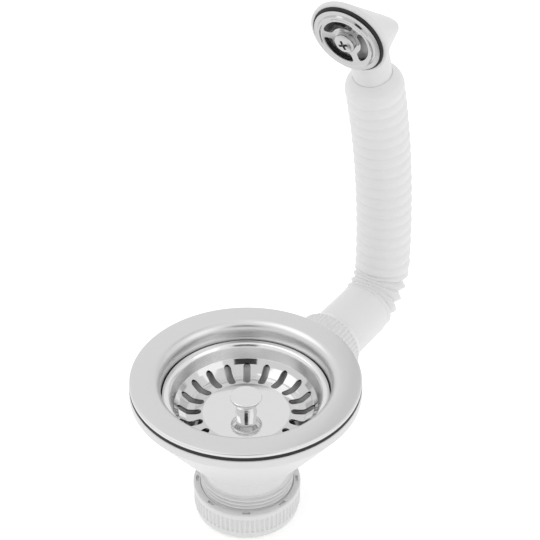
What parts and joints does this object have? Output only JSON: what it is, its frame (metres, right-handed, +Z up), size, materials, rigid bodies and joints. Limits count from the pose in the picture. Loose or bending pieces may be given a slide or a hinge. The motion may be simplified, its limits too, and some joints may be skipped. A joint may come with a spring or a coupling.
{
  "type": "sink waste with overflow",
  "caption": "Kitchen sink waste: steel strainer cup with a lift-out slotted basket, white tapered body with outlet nut, and a corrugated hose up to a round overflow rosette.",
  "frame": {"origin": "centre of the brim's lower edge, where it meets the sink", "axes": "+Z up the waste's axis, +Y towards the overflow branch, hose and rosette in the YZ plane"},
  "size_m": [0.1146, 0.2081, 0.2507],
  "materials": {
    "satin_steel": "satin",
    "bright_steel": "polished",
    "white_body": "semi-gloss",
    "white_nut": "semi-gloss",
    "white_hose": "satin",
    "black_rubber": "matte",
    "brass": "machined"
  },
  "bodies": {
    "waste": {"strainer_cup": "satin_steel", "flange_gasket": "black_rubber", "body_gasket": "black_rubber", "waste_body": "white_body", "body_insert": "brass", "centre_screw": "bright_steel", "outlet_nut": "white_nut", "outlet_washer": "black_rubber", "hose_nut": "white_nut", "hose_washer": "black_rubber", "hose": "white_hose", "overflow_body": "white_body", "overflow_insert": "brass", "overflow_seal": "black_rubber", "overflow_rosette": "bright_steel", "overflow_screw": "bright_steel"},
    "basket": {"basket": "bright_steel", "knob": "bright_steel", "stopper": "black_rubber", "stopper_washer": "bright_steel", "knob_screw": "bright_steel"}
  },
  "joints": [
    {"name": "basket_lift", "type": "slide", "parent": "waste", "child": "basket", "axis": [0, 0, 1], "range_m": [0, 0.04]}
  ]
}
